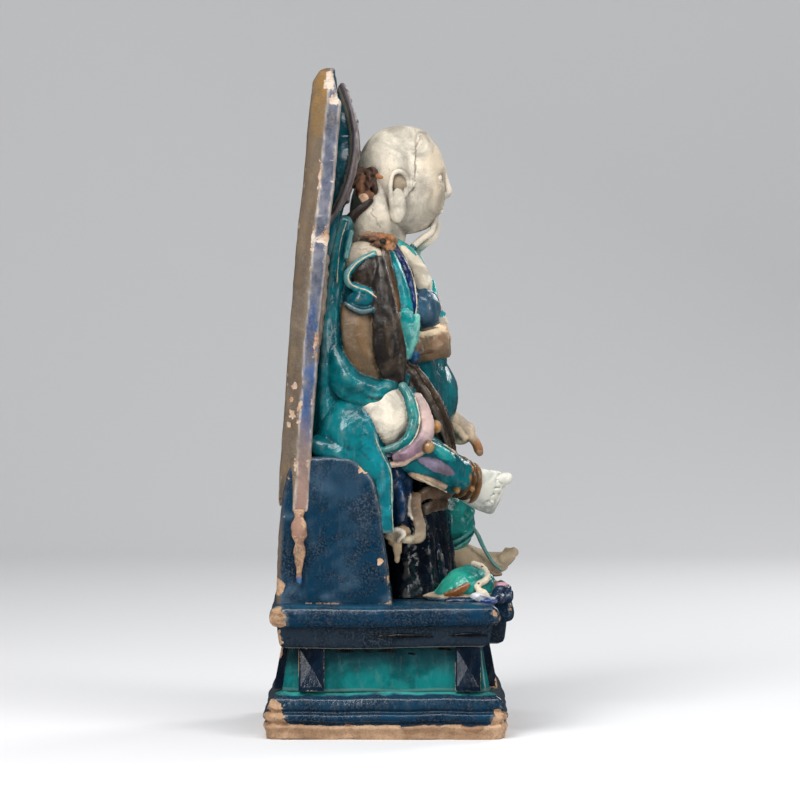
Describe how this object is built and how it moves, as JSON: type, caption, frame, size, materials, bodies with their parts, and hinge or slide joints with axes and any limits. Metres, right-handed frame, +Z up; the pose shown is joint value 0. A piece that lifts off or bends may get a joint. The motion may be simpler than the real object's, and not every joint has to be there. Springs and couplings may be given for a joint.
{
  "type": "stoneware throne figure",
  "caption": "Seated robed deity figure on a throne with a tall leaning back screen and a moulded pedestal, glazed stoneware fired in one piece, worn and chipped.",
  "frame": {"origin": "middle of the pedestal's underside, on the surface that it stands on", "axes": "+Z up, -Y the way the figure faces, +X towards the figure's left side"},
  "size_m": [0.225, 0.1996, 0.52],
  "materials": {
    "glazed_stoneware": "turquoise, cobalt and brown glazes over cream stoneware, glossy, with bare worn edges"
  },
  "bodies": {
    "root": {"seated_figure": "glazed_stoneware"}
  },
  "joints": []
}
